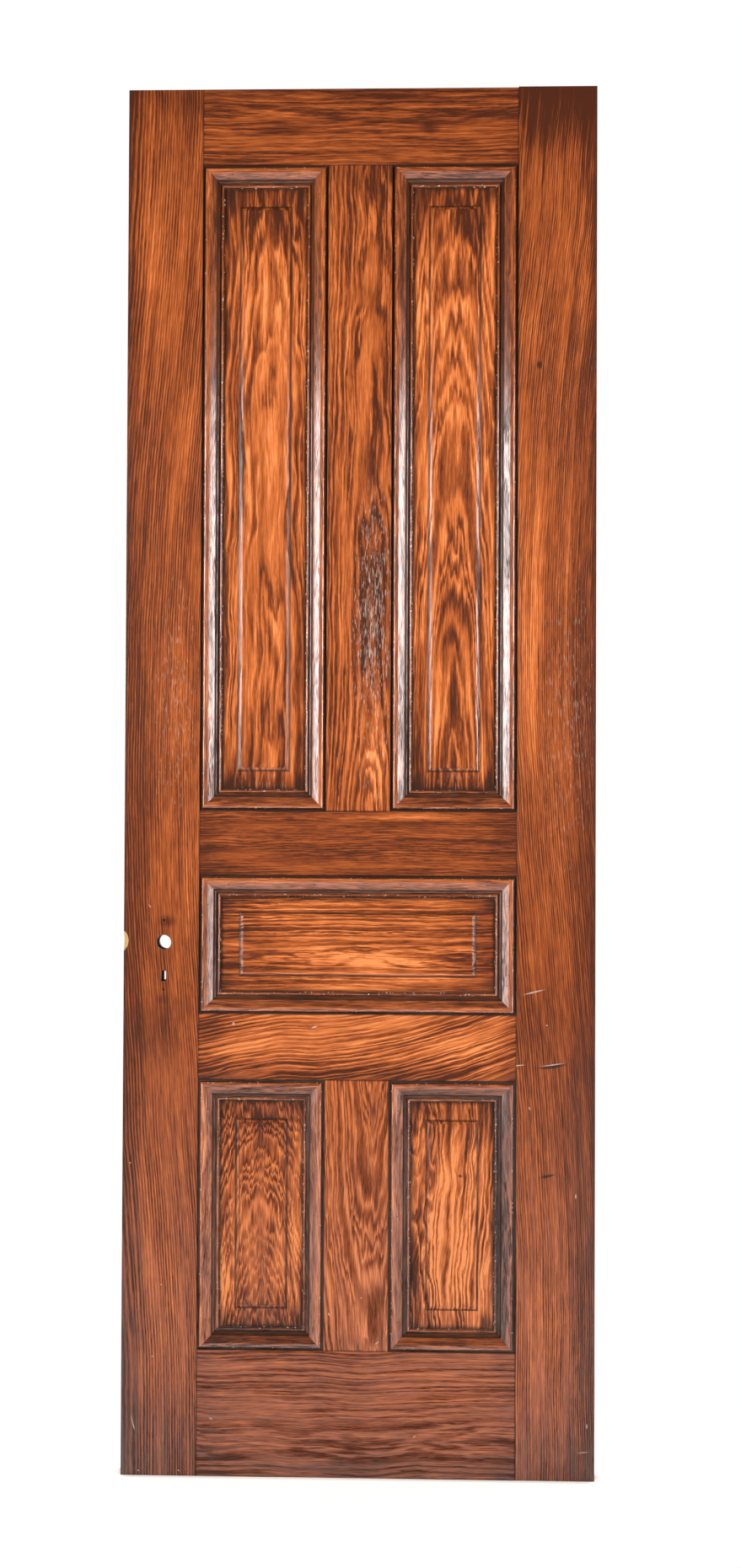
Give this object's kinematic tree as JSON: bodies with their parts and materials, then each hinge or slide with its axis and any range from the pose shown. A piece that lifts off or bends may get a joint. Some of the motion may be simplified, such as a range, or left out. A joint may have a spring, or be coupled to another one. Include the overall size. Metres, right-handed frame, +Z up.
{
  "type": "interior door",
  "caption": "Tall oak interior door slab with raised panels in mitred mouldings, bored for a mortise lock and cut for butt hinges.",
  "frame": {"origin": "middle of the door's foot, halfway through its thickness", "axes": "+Z up the door, +X from the lock edge to the hinge edge, the pictured front faces -Y"},
  "size_m": [0.762, 0.051, 2.25],
  "materials": {
    "oak_frame": "old glossy varnish",
    "oak_panel": "old glossy varnish",
    "oak_moulding": "old crackled varnish",
    "oak_wedge": "bare"
  },
  "bodies": {
    "root": {"lock_stile": "oak_frame", "hinge_stile": "oak_frame", "top_rail": "oak_frame", "frieze_rail": "oak_frame", "lock_rail": "oak_frame", "bottom_rail": "oak_frame", "upper_muntin": "oak_frame", "lower_muntin": "oak_frame", "tenon_wedges": "oak_wedge", "panel_upper_left": "oak_panel", "panel_upper_right": "oak_panel", "panel_middle": "oak_panel", "panel_lower_left": "oak_panel", "panel_lower_right": "oak_panel", "moulding_front_upper_left_bottom": "oak_moulding", "moulding_front_upper_left_right": "oak_moulding", "moulding_front_upper_left_top": "oak_moulding", "moulding_front_upper_left_left": "oak_moulding", "moulding_front_upper_right_bottom": "oak_moulding", "moulding_front_upper_right_right": "oak_moulding", "moulding_front_upper_right_top": "oak_moulding", "moulding_front_upper_right_left": "oak_moulding", "moulding_front_middle_bottom": "oak_moulding", "moulding_front_middle_right": "oak_moulding", "moulding_front_middle_top": "oak_moulding", "moulding_front_middle_left": "oak_moulding", "moulding_front_lower_left_bottom": "oak_moulding", "moulding_front_lower_left_right": "oak_moulding", "moulding_front_lower_left_top": "oak_moulding", "moulding_front_lower_left_left": "oak_moulding", "moulding_front_lower_right_bottom": "oak_moulding", "moulding_front_lower_right_right": "oak_moulding", "moulding_front_lower_right_top": "oak_moulding", "moulding_front_lower_right_left": "oak_moulding", "moulding_back_upper_left_bottom": "oak_moulding", "moulding_back_upper_left_right": "oak_moulding", "moulding_back_upper_left_top": "oak_moulding", "moulding_back_upper_left_left": "oak_moulding", "moulding_back_upper_right_bottom": "oak_moulding", "moulding_back_upper_right_right": "oak_moulding", "moulding_back_upper_right_top": "oak_moulding", "moulding_back_upper_right_left": "oak_moulding", "moulding_back_middle_bottom": "oak_moulding", "moulding_back_middle_right": "oak_moulding", "moulding_back_middle_top": "oak_moulding", "moulding_back_middle_left": "oak_moulding", "moulding_back_lower_left_bottom": "oak_moulding", "moulding_back_lower_left_right": "oak_moulding", "moulding_back_lower_left_top": "oak_moulding", "moulding_back_lower_left_left": "oak_moulding", "moulding_back_lower_right_bottom": "oak_moulding", "moulding_back_lower_right_right": "oak_moulding", "moulding_back_lower_right_top": "oak_moulding", "moulding_back_lower_right_left": "oak_moulding"}
  },
  "joints": []
}
